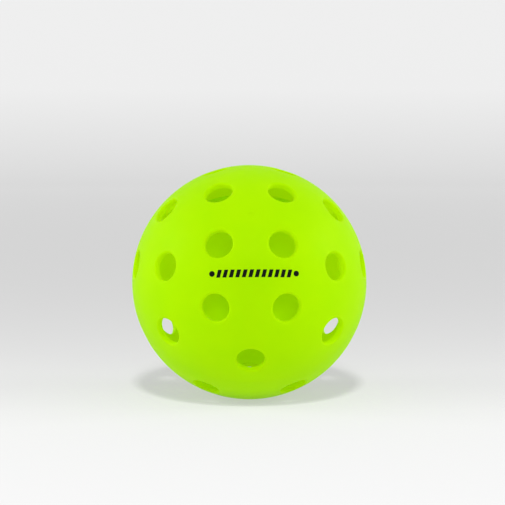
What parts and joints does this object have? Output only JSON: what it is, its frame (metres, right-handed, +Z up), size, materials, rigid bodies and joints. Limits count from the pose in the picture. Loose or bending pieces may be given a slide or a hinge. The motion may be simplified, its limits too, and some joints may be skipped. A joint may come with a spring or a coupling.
{
  "type": "pickleball ball",
  "caption": "Hollow perforated plastic court ball of welded half shells, with rings of equal round holes and a small printed mark.",
  "frame": {"origin": "centre of the ball", "axes": "+Z up with the ball resting on the rim of its lowest hole, whose axis is -Z; -Y towards the printed side; the pole of the hole pattern leans 49.4 degrees from +Z towards -Y, and the weld seam is square to it"},
  "size_m": [0.074, 0.074, 0.0737],
  "materials": {
    "shell": "satin, slightly translucent moulded polyethylene, neon yellow-green",
    "weld": "re-set polyethylene, slightly glossier than the wall",
    "ink": "pad-printed black ink"
  },
  "bodies": {
    "root": {"upper_half_shell": "shell", "lower_half_shell": "shell", "weld_bead": "weld", "printed_mark": "ink"}
  },
  "joints": []
}
